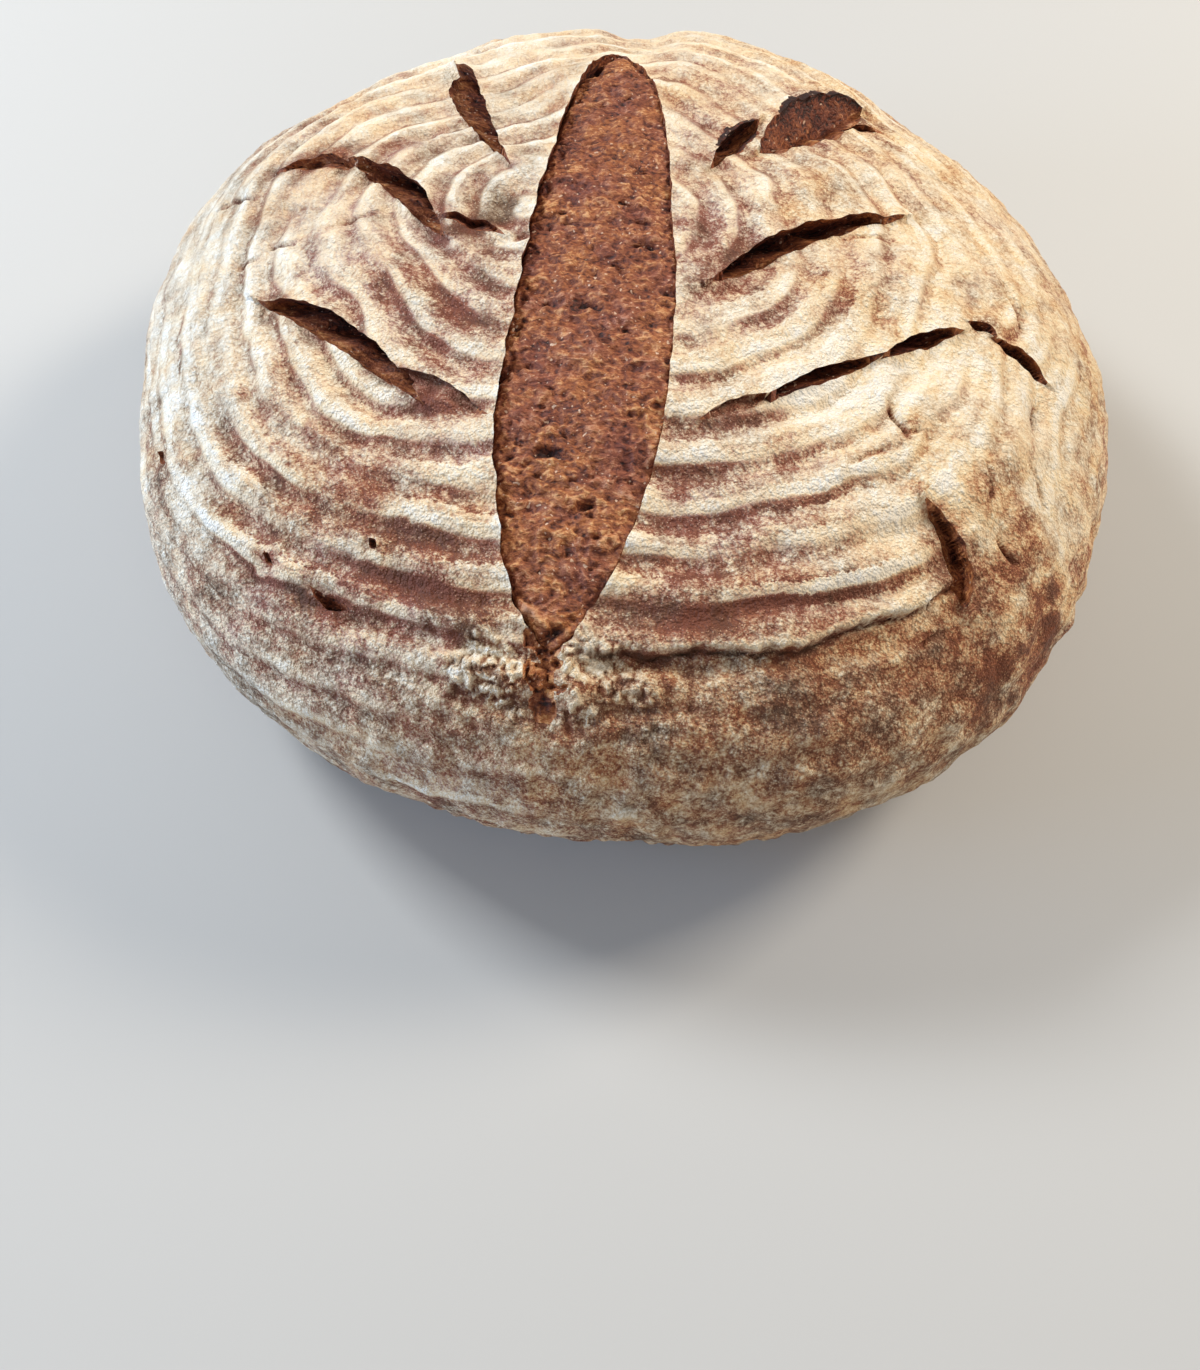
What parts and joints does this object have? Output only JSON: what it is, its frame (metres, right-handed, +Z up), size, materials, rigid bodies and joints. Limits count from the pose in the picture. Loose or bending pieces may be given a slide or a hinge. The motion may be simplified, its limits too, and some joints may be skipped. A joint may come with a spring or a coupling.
{
  "type": "bread boule",
  "caption": "Round hearth loaf with a floured crust ringed by the proofing basket, one long burst slash and short slashes to both sides.",
  "frame": {"origin": "middle of the flat underside, on the surface the loaf rests on", "axes": "+Z up, +X to the right of the long burst, +Y along the burst towards its narrow end"},
  "size_m": [0.237, 0.2424, 0.0862],
  "materials": {
    "crust": "matte, floured"
  },
  "bodies": {
    "root": {"boule": "crust"}
  },
  "joints": []
}
